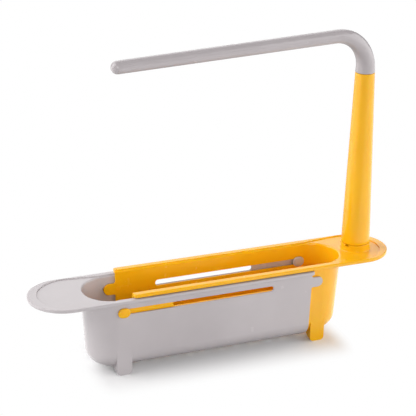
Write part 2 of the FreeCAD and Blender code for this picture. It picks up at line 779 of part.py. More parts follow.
def build_post(label):
    """A tapered tube with a plug end for the socket ring, two lugs and a bore for the rail."""
    body = new_body(label)
    socket_floor = POST_TOP - S.plug_length - S.seam_gap
    rail_bore = S.plug_radius + S.running_fit
    taper = (S.post_bottom_radius - S.post_top_radius) / S.post_length
    inner_top = S.post_top_radius + taper * (POST_TOP - socket_floor) - S.post_wall
    inner_low = S.post_bottom_radius - S.post_wall
    spigot_bore = S.spigot_radius - S.post_wall
    step = POST_BASE + S.post_wall
    profile = new_sketch(body, "post_profile", "XZ_Plane")
    add_polygon(profile, [
        (spigot_bore, SPIGOT_END), (S.spigot_radius, SPIGOT_END), (S.spigot_radius, POST_BASE),
        (S.post_bottom_radius, POST_BASE), (S.post_top_radius, POST_TOP), (rail_bore, POST_TOP),
        (rail_bore, socket_floor), (inner_top, socket_floor), (inner_low, step), (spigot_bore, step)])
    revolve(body, "post_tube", "Revolution", profile, FULL_ANGLE)

    lug_turn = S.notch_angle - S.twist_angle
    lugs = new_sketch(body, "lug_outline", "XY_Plane", LUG_LEVEL, turn=lug_turn)
    lug_half = S.lug_width / 2
    inside = S.spigot_radius - S.post_wall / 2
    tip = S.spigot_radius + S.lug_reach
    add_polygon(lugs, [(inside, -lug_half), (tip, -lug_half), (tip, lug_half), (inside, lug_half)])
    add_polygon(lugs, [(-tip, -lug_half), (-inside, -lug_half), (-inside, lug_half), (-tip, lug_half)])
    pad(body, "lugs", lugs, S.lug_height)
    round_edges(body, "post_edges", lambda edge: (
        flat_at(edge, POST_BASE) and edge.BoundBox.XMax > S.post_bottom_radius.value - NEAR), S.post_edge)
    bind(body, "Placement.Base.x", POST_PLACE)
    return body


def add_quarter_disc(sketch, radius):
    """A quarter of a disc about the sketch's origin, up and to the left."""
    rim = sketch.addGeometry(Part.ArcOfCircle(
        Part.Circle(FreeCAD.Vector(), FreeCAD.Vector(0, 0, 1), radius.value), math.pi / 2, math.pi))
    flat = sketch.addGeometry(Part.LineSegment(vector(-radius, ZERO), FreeCAD.Vector()))
    upright = sketch.addGeometry(Part.LineSegment(FreeCAD.Vector(), vector(ZERO, radius)))
    sketch.addConstraint(Sketcher.Constraint("Coincident", rim, 2, flat, 1))
    sketch.addConstraint(Sketcher.Constraint("Coincident", flat, 2, upright, 1))
    sketch.addConstraint(Sketcher.Constraint("Coincident", upright, 2, rim, 1))
    sketch.addConstraint(Sketcher.Constraint("Coincident", rim, 3, -1, 1))
    sketch.addConstraint(Sketcher.Constraint("Coincident", upright, 1, -1, 1))
    sketch.addConstraint(Sketcher.Constraint("PointOnObject", flat, 1, -1))
    sketch.addConstraint(Sketcher.Constraint("PointOnObject", upright, 2, -2))
    fix(sketch, "Radius", (rim,), radius)


def build_rail(label):
    """A bent tube: plug, short stub, tapering bend and a long run with a domed tip."""
    body = new_body(label)
    start = POST_TOP + S.seam_gap
    bend_start = start + S.rail_stub
    level = bend_start + S.bend_radius
    tip_x = S.rail_reach - S.run_end_radius
    tip_level = level - S.rail_droop
    plug_end = start - S.seam_gap - S.plug_length
    quarter_angle = as_term(90)

    def circle(name, role, level_term, radius, y=ZERO, turn=None):
        sketch = new_sketch(body, name, role, level_term, turn=turn)
        add_circle(sketch, ZERO, y, radius)
        return sketch

    plug = circle("plug_outline", "XY_Plane", plug_end, S.plug_radius)
    pad(body, "plug", plug, start - plug_end)
    spine = new_sketch(body, "bend_path", "XZ_Plane")
    stub = spine.addGeometry(Part.LineSegment(vector(ZERO, start), vector(ZERO, bend_start)))
    bend = spine.addGeometry(Part.ArcOfCircle(
        Part.Circle(vector(-S.bend_radius, bend_start), FreeCAD.Vector(0, 0, 1), S.bend_radius.value),
        0, math.pi / 2))
    spine.addConstraint(Sketcher.Constraint("Tangent", stub, 2, bend, 1))
    fix_point(spine, stub, 1, ZERO, start)
    fix_point(spine, bend, 3, -S.bend_radius, bend_start)
    fix_point(spine, bend, 2, -S.bend_radius, level)

    bend_foot = circle("bend_foot", "XY_Plane", start, S.post_top_radius, turn=quarter_angle)
    bend_top = circle("bend_top", "YZ_Plane", -S.bend_radius, S.run_start_radius, y=level)
    pipe(body, "bend", "Additive", spine, bend_foot, bend_top)
    run_start = circle("run_start", "YZ_Plane", -S.bend_radius, S.run_start_radius, y=level)
    run_end = circle("run_end", "YZ_Plane", -tip_x, S.run_end_radius, y=tip_level)
    loft(body, "run", "Additive", run_start, run_end)
    tip = new_sketch(body, "tip_profile", "XZ_Plane", shift=-tip_x, rise=tip_level)
    add_quarter_disc(tip, S.run_end_radius)
    revolve(body, "tip_dome", "Revolution", tip, FULL_ANGLE, axis="H_Axis")

    # Bore of the tube
    plug_bore = S.plug_radius - S.rail_wall
    run_bore = S.run_start_radius - S.rail_wall
    tip_bore = S.run_end_radius - S.rail_wall
    bore_foot = circle("bore_foot", "XY_Plane", start, plug_bore, turn=quarter_angle)
    bore_top = circle("bore_top", "YZ_Plane", -S.bend_radius, run_bore, y=level)
    pipe(body, "bend_bore", "Subtractive", spine, bore_foot, bore_top)
    bore_start = circle("run_bore_start", "YZ_Plane", -S.bend_radius, run_bore, y=level)
    bore_end = circle("run_bore_end", "YZ_Plane", -tip_x, tip_bore, y=tip_level)
    loft(body, "run_bore", "Subtractive", bore_start, bore_end)
    mouth = circle("plug_bore", "XY_Plane", start, plug_bore)
    pocket(body, "plug_bore_cut", mouth, start - plug_end + S.overrun)
    body.Placement = FreeCAD.Placement(
        FreeCAD.Vector(), FreeCAD.Rotation(FreeCAD.Vector(0, 0, 1), S.swivel_angle.value))
    bind(body, "Placement.Rotation.Angle", S.swivel_angle)
    bind(body, "Placement.Base.x", POST_PLACE)
    return body


OUTER = SimpleNamespace(
    floor=S.floor_height, half=S.outer_half, end_centre=OUTER_END, floor_round=S.outer_floor_round,
    rim_half=S.outer_half + S.outer_flange, rim_top=S.outer_rim_top, rim_thick=S.outer_rim_thick,
    rim_tip=S.outer_rim_tip,
    arm_end=OUTER_ARM_END, foot_far=OUTER_END + S.outer_foot_lead, foot_top=S.outer_foot_top,
    stud_x=OUTER_STUD_X, runner_x=INNER_STUD_X, heads_outside=False, tongue=S.outer_tongue)
INNER = SimpleNamespace(
    floor=S.floor_height + S.wall + S.stack_gap, half=INNER_HALF, end_centre=INNER_END,
    floor_round=S.inner_floor_round,
    rim_half=S.outer_half + S.inner_flange, rim_top=INNER_RIM_TOP, rim_thick=S.inner_rim_thick,
    rim_tip=S.inner_rim_tip,
    arm_end=INNER_ARM_END, foot_far=INNER_END + S.inner_foot_lead, foot_top=S.inner_foot_top,
    stud_x=INNER_STUD_X, runner_x=OUTER_STUD_X, heads_outside=True, tongue=S.inner_tongue)

outer_tray = build_tray("outer_tray", OUTER)
add_ribs(outer_tray, OUTER)
inner_tray = build_tray("inner_tray", INNER)
add_socket(inner_tray)
inner_tray.Placement = FreeCAD.Placement(
    FreeCAD.Vector(), FreeCAD.Rotation(FreeCAD.Vector(0, 0, 1), HALF_ANGLE))
pieces = [
    outer_tray,
    inner_tray,
    build_stud("inner_stud_front", -INNER_STUD_X, INNER_HALF, outward=True, front=True),
    build_stud("inner_stud_rear", -INNER_STUD_X, INNER_HALF, outward=True, front=False),
    build_stud("outer_stud_front", OUTER_STUD_X, S.outer_half, outward=False, front=True),
    build_stud("outer_stud_rear", OUTER_STUD_X, S.outer_half, outward=False, front=False),
    build_post("post"),
    build_rail("rail"),
]
doc.recompute()

# Nothing is written unless every object is sound
for item in doc.Objects:
    if "Invalid" in item.State or "Error" in item.State:
        raise RuntimeError(f"{item.Name} failed: {item.State}")
for piece in pieces:
    if piece.Shape.isNull() or not piece.Shape.isValid() or len(piece.Shape.Solids) != 1:
        raise RuntimeError(f"{piece.Label} is not one sound solid")
os.makedirs("parts", exist_ok=True)
for piece in pieces:
    piece.Shape.exportStep(os.path.join("parts", f"{piece.Label}.step"))
    box = piece.Shape.BoundBox
    print(f"{piece.Label}: {piece.Shape.Volume / 1000:.2f} cm3, "
          f"x {box.XMin:.2f} to {box.XMax:.2f}, y {box.YMin:.2f} to {box.YMax:.2f}, "
          f"z {box.ZMin:.2f} to {box.ZMax:.2f}")
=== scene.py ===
import json
import math

import bpy
import numpy as np
from mathutils import Matrix, Vector


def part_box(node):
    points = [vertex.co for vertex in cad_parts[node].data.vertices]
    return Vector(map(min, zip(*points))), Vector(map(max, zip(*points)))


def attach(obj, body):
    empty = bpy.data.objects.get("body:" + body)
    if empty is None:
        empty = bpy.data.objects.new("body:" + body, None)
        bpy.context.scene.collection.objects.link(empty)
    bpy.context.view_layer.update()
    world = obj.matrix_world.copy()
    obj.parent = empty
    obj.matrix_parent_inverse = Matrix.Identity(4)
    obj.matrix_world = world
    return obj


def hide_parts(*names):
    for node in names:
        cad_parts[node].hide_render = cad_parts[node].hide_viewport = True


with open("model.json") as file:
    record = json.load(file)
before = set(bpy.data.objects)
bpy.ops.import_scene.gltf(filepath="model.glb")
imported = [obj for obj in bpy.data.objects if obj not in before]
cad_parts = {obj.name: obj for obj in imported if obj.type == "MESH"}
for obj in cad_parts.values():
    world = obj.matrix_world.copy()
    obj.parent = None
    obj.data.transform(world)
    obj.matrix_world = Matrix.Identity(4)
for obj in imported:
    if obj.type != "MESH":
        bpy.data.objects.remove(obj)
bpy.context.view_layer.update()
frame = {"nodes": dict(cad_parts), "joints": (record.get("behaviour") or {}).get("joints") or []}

bl_info = {
    "name": "Sink Caddy Finish",
    "version": (1, 0, 0),
    "blender": (4, 5, 0),
    "location": "View3D > Sidebar > Sink Caddy",
    "description": "Plastic finish, guide studs, post, towel rail and studio for the sink caddy",
    "category": "Object",
}

# The frame's own facts: where the post stands, and the boxes of the post and the rail
JOINT_PLACES = {joint["name"]: joint["pos_m"] for joint in frame["joints"] if "pos_m" in joint}
POST_X, POST_Y = JOINT_PLACES["post_twist"][:2]
POST_BOX = [list(corner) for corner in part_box("post")]
RAIL_BOX = [list(corner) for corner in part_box("rail")]

# The picture is square; its side in pixels turns the focal length in pixels into a lens
PICTURE_SIDE = 416
SENSOR_WIDTH = 36.0

FULL_TURN = 2 * math.pi
QUARTER_TURN = math.pi / 2
SHARP_ANGLE = math.radians(32)


def length_property(name, description, default):
    return bpy.props.FloatProperty(
        name=name, description=description, default=default, min=0.0, precision=5, subtype="DISTANCE",
        unit="LENGTH")


def share_property(name, description, default):
    return bpy.props.FloatProperty(
        name=name, description=description, default=default, min=0.0, max=1.0, subtype="FACTOR")


def angle_property(name, description, degrees):
    return bpy.props.FloatProperty(
        name=name, description=description, default=math.radians(degrees), subtype="ANGLE", unit="ROTATION")


def power_property(name, description, default):
    return bpy.props.FloatProperty(
        name=name, description=description, default=default, min=0.0, subtype="POWER", unit="POWER")


def colour_property(name, description, default):
    return bpy.props.FloatVectorProperty(
        name=name, description=description, default=default, size=3, min=0.0, max=1.0, subtype="COLOR")


class CaddyFinish(bpy.types.PropertyGroup):
    """Colours and surface of the two moulded plastics."""

    grey: colour_property("Grey", "Colour of the outer half", (0.505, 0.466, 0.477))
    # The rail's grey is the outer half's grey darkened: painted shade that stands in for the shade the lamps
    # leave off the rail
    rail: colour_property("Rail grey", "Colour of the towel rail, a shade darker", (0.430, 0.394, 0.404))
    yellow: colour_property("Yellow", "Colour of the inner half and the post", (0.90, 0.46, 0.004))
    grain_size: length_property("Grain size", "Spacing of the fine mould texture", 0.00042)
    grain_depth: length_property("Grain depth", "Depth of the fine mould texture", 0.000004)
    flow_size: length_property("Flow size", "Spacing of the broad colour and gloss changes", 0.055)
    wave_depth: length_property("Wave depth", "Depth of the shallow waves in the walls", 0.00022)
    glow_share: share_property("Inner glow", "Share of the light that enters the yellow plastic", 0.3)
    glow_depth: length_property("Glow depth", "How far light wanders inside the yellow plastic", 0.002)
    colour_change: share_property("Colour change", "How far the colour strays along the flow", 0.035)
    polish: share_property("Polish", "Roughness where the mould was smoothest", 0.18)
    dullness: share_property("Dullness", "Roughness where the mould was dullest", 0.28)


class CaddyStuds(bpy.types.PropertyGroup):
    """Sizes of the four oval guide studs."""

    level: length_property("Level", "Height of the guide slots above the floor", 0.0674)
    inner_spread: length_property("Yellow spread", "Half distance between the yellow tongues", 0.0246)
    outer_spread: length_property("Grey spread", "Half distance between the grey tongues", 0.0269)
    lean: angle_property("Lean", "How far the walls lean out from upright", 3.776)
    shank_radius: length_property("Shank radius", "Radius of the part seated in the tongue", 0.0020)
    neck_radius: length_property("Neck radius", "Radius of the part that runs in the slot", 0.00245)
    shank_start: length_property("Seat depth", "How far the shank goes past the tongue's middle", 0.0003)
    shank_end: length_property("Shank end", "Where the shank leaves the tongue", 0.0009)
    head_start: length_property("Head start", "Where the head begins", 0.0036)
    head_thick: length_property("Head thickness", "Thickness of the oval head with its crown", 0.0024)
    head_length: length_property("Head length", "Length of the oval head", 0.0122)
    head_height: length_property("Head height", "Height of the oval head", 0.0100)
    head_round: length_property("Head rounding", "Rounding of the head's outer edge", 0.0009)
    crown: length_property("Crown", "How far the middle of the head stands above its edge", 0.0005)


class CaddyPost(bpy.types.PropertyGroup):
    """Sizes of the tapered post."""

    foot: length_property("Foot", "Height of the spigot's lower end", POST_BOX[0][2])
    top: length_property("Top", "Height of the post's upper end", POST_BOX[1][2])
    base: length_property("Base", "Height of the shoulder above the socket ring", 0.0926)
    base_radius: length_property("Base radius", "Radius of the post just above its shoulder", 0.0143)
    top_radius: length_property("Top radius", "Radius of the post at its upper end", 0.0095)
    spigot_radius: length_property("Spigot radius", "Radius of the plug in the socket ring", 0.0120)
    wall: length_property("Wall", "Thickness of the tube", 0.0020)
    bore_radius: length_property("Bore radius", "Radius of the bore that takes the rail", 0.0074)
    bore_depth: length_property("Bore depth", "Depth of the bore that takes the rail", 0.0223)
    base_round: length_property("Base rounding", "Rounding of the shoulder's edge", 0.0007)
    top_round: length_property("Top rounding", "Rounding of the upper edge", 0.0004)
    lug_level: length_property("Lug level", "Height of the underside of the twist-lock lugs", 0.0841)
    lug_height: length_property("Lug height", "Height of the twist-lock lugs", 0.0024)
    lug_reach: length_property("Lug reach", "How far the lugs stand out of the spigot", 0.0010)
    lug_width: length_property("Lug width", "Width of the twist-lock lugs", 0.0040)
    lug_turn: angle_property("Lug turn", "Direction of the lugs when the post is locked", -11.0)


class CaddyRail(bpy.types.PropertyGroup):
    """Sizes of the bent towel rail."""

    plug_end: length_property("Plug end", "Height of the plug's lower end", RAIL_BOX[0][2])
    start: length_property("Start", "Height of the seam above the post", 0.2681)
    stub: length_property("Stub", "Straight length above the seam", 0.0045)
    bend_radius: length_property("Bend radius", "Radius of the bend's middle line", 0.0340)
    reach: length_property("Reach", "Distance from the post's middle to the tip", 0.2660)
    droop: length_property("Droop", "How far the tip lies below the bend", 0.0024)
    plug_radius: length_property("Plug radius", "Radius of the plug in the post", 0.0073)
    start_radius: length_property("Start radius", "Radius at the seam", 0.0095)
    run_radius: length_property("Run radius", "Radius where the straight run begins", 0.00645)
    tip_radius: length_property("Tip radius", "Radius at the rounded tip", 0.00605)
    wall: length_property("Wall", "Thickness of the tube", 0.0022)
    lip_round: length_property("Lip rounding", "Rounding of the edge at the seam", 0.0005)
    swivel: angle_property("Swivel", "How far the rail is turned towards the front", 6.0)


class CaddyStudio(bpy.types.PropertyGroup):
    """Floor, light and camera."""

    floor_colour: colour_property("Floor", "Colour of the pale floor", (0.58, 0.58, 0.58))
    floor_seen: colour_property("Floor seen", "Colour of the floor to the camera", (0.92, 0.92, 0.92))
    shade_length: length_property("Shade length", "Half length of the fully shaded floor", 0.115)
    shade_width: length_property("Shade width", "Half width of the fully shaded floor", 0.024)
    shade_reach: length_property("Shade reach", "Distance over which the shadow fades into white", 0.045)
    board_start: share_property("Board start", "How far aside the bright boards begin", 0.45)
    board_end: share_property("Board end", "How far aside the boards reach their full brightness", 0.8)
    board_glow: bpy.props.FloatProperty(
        name="Board glow", description="Brightness of the boards in reflections", default=1.1, min=0.0)
    fill: bpy.props.FloatProperty(
        name="Fill", description="Even light from all round", default=0.03, min=0.0)
    right_power: power_property("Right", "Power of the soft box on the right", 143.0)
    left_power: power_property("Left", "Power of the tall soft box on the left", 206.0)
    front_power: power_property("Front", "Power of the soft box beside the camera", 76.0)
    back_power: power_property("Back", "Power of the broad soft box behind", 92.0)
    bearing: angle_property("Bearing", "Turn of the line of sight from straight ahead", 22.237)
    dip: angle_property("Dip", "How far the line of sight looks down", 21.843)
    roll: angle_property("Roll", "Tilt of the camera about the line of sight", 0.977)
    distance: length_property("Distance", "Distance to the sighted point along the line of sight", 1.395507)
    sight_height: length_property("Sight height", "Height of the sighted point above the floor", 0.1)
    shift_right: bpy.props.FloatProperty(
        name="Off to the right", description="Place of the sighted point right of the picture's middle",
        default=0.005572, precision=6, unit="LENGTH")
    shift_up: bpy.props.FloatProperty(
        name="Off upwards", description="Place of the sighted point above the picture's middle",
        default=-0.044664, precision=6, unit="LENGTH")
    focal_pixels: bpy.props.FloatProperty(
        name="Focal length", description="Focal length in pixels of the square picture", default=1448.633)


# Surfaces


def make_object(name, points, faces, material):
    """A smooth mesh object at the origin, its edges crisp past the sharp angle."""
    mesh = bpy.data.meshes.new(name)
    mesh.from_pydata(points.tolist(), [], faces)
    mesh.validate()
    mesh.polygons.foreach_set("use_smooth", np.ones(len(mesh.polygons), dtype=bool))
    mesh.set_sharp_from_angle(angle=SHARP_ANGLE)
    mesh.materials.append(material)
    obj = bpy.data.objects.new(name, mesh)
    bpy.context.scene.collection.objects.link(obj)
    return obj


def signed_volume(points, quads):
    """Six times the volume inside the quads, from the boxes that their triangles span with the origin."""
    a, b, c, d = (points[quads[:, corner]] for corner in range(4))
    first = np.einsum("ij,ij->i", a, np.cross(b, c)).sum()
    second = np.einsum("ij,ij->i", a, np.cross(c, d)).sum()
    return first + second


def sheet_faces(grid, wrap_rows):
    """Quads between the grid's neighbouring rows, closed round its columns and, if asked, round its rows."""
    rows, columns = grid.shape[:2]
    index = np.arange(rows * columns).reshape(rows, columns)
    beside = np.roll(index, -1, axis=1)
    after = np.roll(index, -1, axis=0)
    after_beside = np.roll(beside, -1, axis=0)
    quads = np.stack([index, beside, after_beside, after], axis=-1)
    return (quads if wrap_rows else quads[:-1]).reshape(-1, 4)


def tube_object(name, grid, material):
    """A tube of rings whose first and last rings are closed by a fan to their own middle point."""
    rows, columns = grid.shape[:2]
    points = np.concatenate([grid.reshape(-1, 3), grid[:1].mean(axis=1), grid[-1:].mean(axis=1)])
    quads = sheet_faces(grid, False)
    first_pole = rows * columns
    ring = np.arange(columns)
    beside = np.roll(ring, -1)
    last = (rows - 1) * columns
    start_fan = np.stack([beside, ring, np.full(columns, first_pole)], axis=1)
    end_fan = np.stack([last + ring, last + beside, np.full(columns, first_pole + 1)], axis=1)
    fans = np.concatenate([start_fan, end_fan])
    if signed_volume(points - points.mean(axis=0), quads) < 0:
        quads, fans = quads[:, ::-1], fans[:, ::-1]
    return make_object(name, points, quads.tolist() + fans.tolist(), material)


def ring_object(name, grid, material):
    """A closed ring: a grid that runs into itself along both of its directions."""
    points = grid.reshape(-1, 3)
    quads = sheet_faces(grid, True)
    if signed_volume(points - points.mean(axis=0), quads) < 0:
        quads = quads[:, ::-1]
    return make_object(name, points, quads.tolist(), material)


# Rows in each rounded edge, and how far a closed end draws in before its middle point
ROUND_ROWS = 7
POLE_SHARE = 0.06

STUD_COLUMNS = 72
CROWN_ROWS = 9
OVAL_BLEND = 0.2
UNDER_ROUND_SHARE = 0.35
SHANK_END_SHARE = 0.85
SHANK_LEAD_SHARE = 0.5


def stud_grid(sizes, place, axis):
    """Rings along the stud's axis: round for shank and neck, an oval for the head.

    The oval is a circle whose right and left halves are moved apart by half of the head's extra length;
    near the top and bottom the move runs evenly from one side to the other. The head's face is a crown,
    highest in the middle, that falls with the square of the distance from it.
    """
    turn = np.arange(STUD_COLUMNS) * FULL_TURN / STUD_COLUMNS
    circle = np.stack([np.cos(turn), np.sin(turn)], axis=1)
    radius = sizes.head_height / 2
    apart = (sizes.head_length - sizes.head_height) / 2
    oval = circle * radius
    oval[:, 0] += apart * np.clip(circle[:, 0] / OVAL_BLEND, -1, 1)

    under = sizes.head_round * UNDER_ROUND_SHARE
    top = sizes.head_start + sizes.head_thick
    edge = top - sizes.crown
    bend = np.linspace(0, QUARTER_TURN, ROUND_ROWS)
    face = np.linspace(1, POLE_SHARE, CROWN_ROWS)[1:]
    edge_share = 1 - sizes.head_round / radius
    round_rows = [
        (sizes.shank_radius * SHANK_END_SHARE, -sizes.shank_start),
        (sizes.shank_radius, -sizes.shank_start * SHANK_LEAD_SHARE),
        (sizes.shank_radius, sizes.shank_end), (sizes.neck_radius, sizes.shank_end),
        (sizes.neck_radius, sizes.head_start)]
    shares = np.concatenate([
        1 - under / radius * (1 - np.sin(bend)), 1 - sizes.head_round / radius * (1 - np.cos(bend)),
        face * edge_share])
    heights = np.concatenate([
        sizes.head_start + under * (1 - np.cos(bend)),
        edge - sizes.head_round * (1 - np.sin(bend)),
        edge + sizes.crown * (1 - face ** 2)])
    rounds, levels = np.array(round_rows).T
    flat = np.concatenate([rounds[:, None, None] * circle, shares[:, None, None] * oval])
    along = np.concatenate([levels, heights])
    axis = np.array(axis)
    across = np.array((1.0, 0.0, 0.0))
    upward = np.cross(axis, across)
    return (np.array(place) + along[:, None, None] * axis
            + flat[..., :1] * across + flat[..., 1:] * upward)


POST_COLUMNS = 96
SHANK_ROWS = 30
POST_ROUND_ROWS = 6
LUG_EDGE = 1e-4


def post_grid(sizes):
    """The post's closed profile turned about its axis; two sectors of the spigot stand out as lugs.

    The profile runs up the outside, over the rounded top, down the bore and the tapering inside, and back
    under the spigot. A ring's radius is the profile's radius, plus the lug reach inside the lugs' sectors.
    """
    taper = (sizes.base_radius - sizes.top_radius) / (sizes.top - sizes.base)
    bore_floor = sizes.top - sizes.bore_depth
    inner_top = sizes.top_radius + taper * sizes.bore_depth - sizes.wall
    inner_low = sizes.base_radius - sizes.wall
    spigot_bore = sizes.spigot_radius - sizes.wall
    step = sizes.base + sizes.wall
    bend = np.linspace(0, QUARTER_TURN, POST_ROUND_ROWS)
    lug_low = sizes.lug_level + LUG_EDGE
    lug_high = sizes.lug_level + sizes.lug_height - LUG_EDGE
    spigot = np.array([
        (spigot_bore, sizes.foot), (sizes.spigot_radius, sizes.foot),
        (sizes.spigot_radius, sizes.lug_level), (sizes.spigot_radius, lug_low),
        (sizes.spigot_radius, lug_high), (sizes.spigot_radius, lug_high + LUG_EDGE),
        (sizes.spigot_radius, sizes.base)])
    shoulder = np.stack([
        sizes.base_radius - sizes.base_round * (1 - np.sin(bend)),
        sizes.base + sizes.base_round * (1 - np.cos(bend))], axis=1)
    shank_level = np.linspace(sizes.base + sizes.base_round, sizes.top - sizes.top_round, SHANK_ROWS)[1:-1]
    shank = np.stack([sizes.base_radius - taper * (shank_level - sizes.base), shank_level], axis=1)
    crest = np.stack([
        sizes.top_radius - sizes.top_round * (1 - np.cos(bend)),
        sizes.top - sizes.top_round * (1 - np.sin(bend))], axis=1)
    inside = np.array([
        (sizes.bore_radius, sizes.top), (sizes.bore_radius, bore_floor), (inner_top, bore_floor),
        (inner_low, step), (spigot_bore, step)])
    profile = np.concatenate([spigot, shoulder, shank, crest, inside])

    half = math.asin(sizes.lug_width / 2 / (sizes.spigot_radius + sizes.lug_reach))
    even = np.arange(POST_COLUMNS) * FULL_TURN / POST_COLUMNS
    middles = np.array([sizes.lug_turn, sizes.lug_turn + math.pi])
    edges = (middles[:, None] + np.array([-half - LUG_EDGE, -half, half, half + LUG_EDGE])).ravel()
    turn = np.sort(np.concatenate([even, edges % FULL_TURN]))
    off_middle = np.abs((turn - sizes.lug_turn + QUARTER_TURN) % math.pi - QUARTER_TURN)
    in_lug = off_middle < half + LUG_EDGE / 2
    at_lug = (profile[:, 1] >= lug_low) & (profile[:, 1] <= lug_high)
    radius = profile[:, :1] + sizes.lug_reach * (at_lug[:, None] & in_lug[None, :])
    level = np.broadcast_to(profile[:, 1:], radius.shape)
    return np.stack([POST_X + radius * np.cos(turn), POST_Y + radius * np.sin(turn), level], axis=-1)


RAIL_COLUMNS = 72
STUB_ROWS = 6
RUN_ROWS = 40
BEND_ROWS = 48
DOME_ROWS = 12
TIP_POLE_SHARE = 0.02
BORE_POLE_SHARE = 0.1


def rail_line(sizes, first_radius, last_radius, tip_radius):
    """Middle line, direction and radius of the tube from the seam to the tip.

    The line climbs the stub, turns a quarter circle and runs out to the tip with an even droop. The radius
    falls evenly with the length of stub and bend, and then evenly along the run.
    """
    bend_start = sizes.start + sizes.stub
    bend_length = sizes.bend_radius * QUARTER_TURN
    level = bend_start + sizes.bend_radius
    tip_x = sizes.reach - sizes.tip_radius
    stub = np.linspace(0, sizes.stub, STUB_ROWS)[:-1]
    turn = np.linspace(0, QUARTER_TURN, BEND_ROWS)
    run = np.linspace(0, 1, RUN_ROWS)[1:]
    x = np.concatenate([
        np.zeros(len(stub)), sizes.bend_radius * (np.cos(turn) - 1),
        -sizes.bend_radius - run * (tip_x - sizes.bend_radius)])
    z = np.concatenate([sizes.start + stub, bend_start + sizes.bend_radius * np.sin(turn),
                        level - run * sizes.droop])
    heading = np.concatenate([np.zeros(len(stub)), turn, np.full(len(run), QUARTER_TURN)])
    travelled = np.concatenate([stub, sizes.stub + sizes.bend_radius * turn]) / (sizes.stub + bend_length)
    radius = np.concatenate([
        first_radius + (last_radius - first_radius) * travelled,
        last_radius + (tip_radius - last_radius) * run])
    return np.stack([x, z, heading, radius], axis=1)


def rail_grid(sizes):
    """Rings along the rail: out of the bore, round the plug's end, over the seam lip and out to the dome.

    Each ring is a circle square to the middle line, held as the middle's place across and up, the heading
    and the radius. The dome's rings draw in as the cosine and move on as the sine of an even quarter turn.
    """
    outer = rail_line(sizes, sizes.start_radius, sizes.run_radius, sizes.tip_radius)
    bore = rail_line(sizes, sizes.plug_radius - sizes.wall, sizes.run_radius - sizes.wall,
                     sizes.tip_radius - sizes.wall)
    plug_bore = sizes.plug_radius - sizes.wall
    edge = sizes.lip_round
    upright = np.array([
        (0, sizes.plug_end, 0, plug_bore), (0, sizes.plug_end, 0, sizes.plug_radius - edge),
        (0, sizes.plug_end + edge, 0, sizes.plug_radius), (0, sizes.start, 0, sizes.plug_radius)])
    bend = np.linspace(0, QUARTER_TURN, ROUND_ROWS)
    none = np.zeros(len(bend))
    lip = np.stack([none, sizes.start + edge * (1 - np.cos(bend)), none,
                    sizes.start_radius - edge * (1 - np.sin(bend))], axis=1)
    dome_turn = np.linspace(0, QUARTER_TURN, DOME_ROWS)[1:-1]
    tip_x, tip_z = outer[-1, :2]
    dome = np.stack([
        tip_x - sizes.tip_radius * np.sin(dome_turn), np.full(len(dome_turn), tip_z),
        np.full(len(dome_turn), QUARTER_TURN), sizes.tip_radius * np.cos(dome_turn)], axis=1)
    tip_pole = [(tip_x - sizes.tip_radius, tip_z, QUARTER_TURN, sizes.tip_radius * TIP_POLE_SHARE)]
    bore_pole = bore[-1:] * (1, 1, 1, BORE_POLE_SHARE)
    rings = np.concatenate([bore_pole, bore[::-1], upright, lip, outer[1:], dome, tip_pole])

    x, z, heading, radius = rings.T[:, :, None]
    turn = np.arange(RAIL_COLUMNS) * FULL_TURN / RAIL_COLUMNS
    in_plane = radius * np.cos(turn)
    local_x = x + in_plane * np.cos(heading)
    local_y = radius * np.sin(turn)
    local_z = z + in_plane * np.sin(heading)
    cosine, sine = math.cos(sizes.swivel), math.sin(sizes.swivel)
    world_x = POST_X + cosine * local_x - sine * local_y
    world_y = POST_Y + sine * local_x + cosine * local_y
    return np.stack([world_x, world_y, local_z], axis=-1)


# Finishes


# Values of the noise texture that count as its lowest and its highest
NOISE_LOW = 0.3
NOISE_HIGH = 0.7


class NodeBench:
    """Adds nodes to one tree and joins them, so that a finish reads from top to bottom."""

    def __init__(self, holder):
        holder.use_nodes = True
        self.tree = holder.node_tree
        self.tree.nodes.clear()

    def add(self, kind, settings=None, **inputs):
        node = self.tree.nodes.new(kind)
        for key, value in (settings or {}).items():
            setattr(node, key, value)
        for key, value in inputs.items():
            self.put(node.inputs[key.replace("_", " ")], value)
        return node

    def put(self, socket, value):
        if isinstance(value, bpy.types.NodeSocket):
            self.tree.links.new(value, socket)
        else:
            socket.default_value = value

    def vector(self, operation, *values, output="Vector"):
        node = self.add("ShaderNodeVectorMath", {"operation": operation})
        for socket, value in zip(node.inputs, values):
            self.put(socket, value)
        return node.outputs[output]

    def number(self, operation, *values):
        node = self.add("ShaderNodeMath", {"operation": operation})
        for socket, value in zip(node.inputs, values):
            self.put(socket, value)
        return node.outputs[0]

    def noise(self, place, spacing, detail, roughness):
        node = self.add("ShaderNodeTexNoise", Vector=place, Scale=1 / spacing, Detail=detail,
                        Roughness=roughness)
        return node.outputs["Fac"]

    def between(self, noise, low, high):
        node = self.add("ShaderNodeMapRange", Value=noise, From_Min=NOISE_LOW, From_Max=NOISE_HIGH,
                        To_Min=low, To_Max=high)
        return node.outputs["Result"]

    def ramp(self, value, start, end, height=1.0):
        node = self.add("ShaderNodeMapRange", {"interpolation_type": "SMOOTHSTEP"}, Value=value,
                        From_Min=start, From_Max=end, To_Max=height)
        return node.outputs["Result"]

    def blend(self, share, first, second):
        node = self.add("ShaderNodeMix", {"data_type": "RGBA"})
        in_use = [socket for socket in node.inputs if socket.enabled]
        for socket, value in zip(in_use, (share, first, second)):
            self.put(socket, value)
        return next(socket for socket in node.outputs if socket.enabled)

    def join(self, kind, first, second, **inputs):
        node = self.add(kind, **inputs)
        shaders = [socket for socket in node.inputs if socket.type == "SHADER"]
        for socket, shader in zip(shaders, (first, second)):
            self.put(socket, shader.outputs[0])
        return node


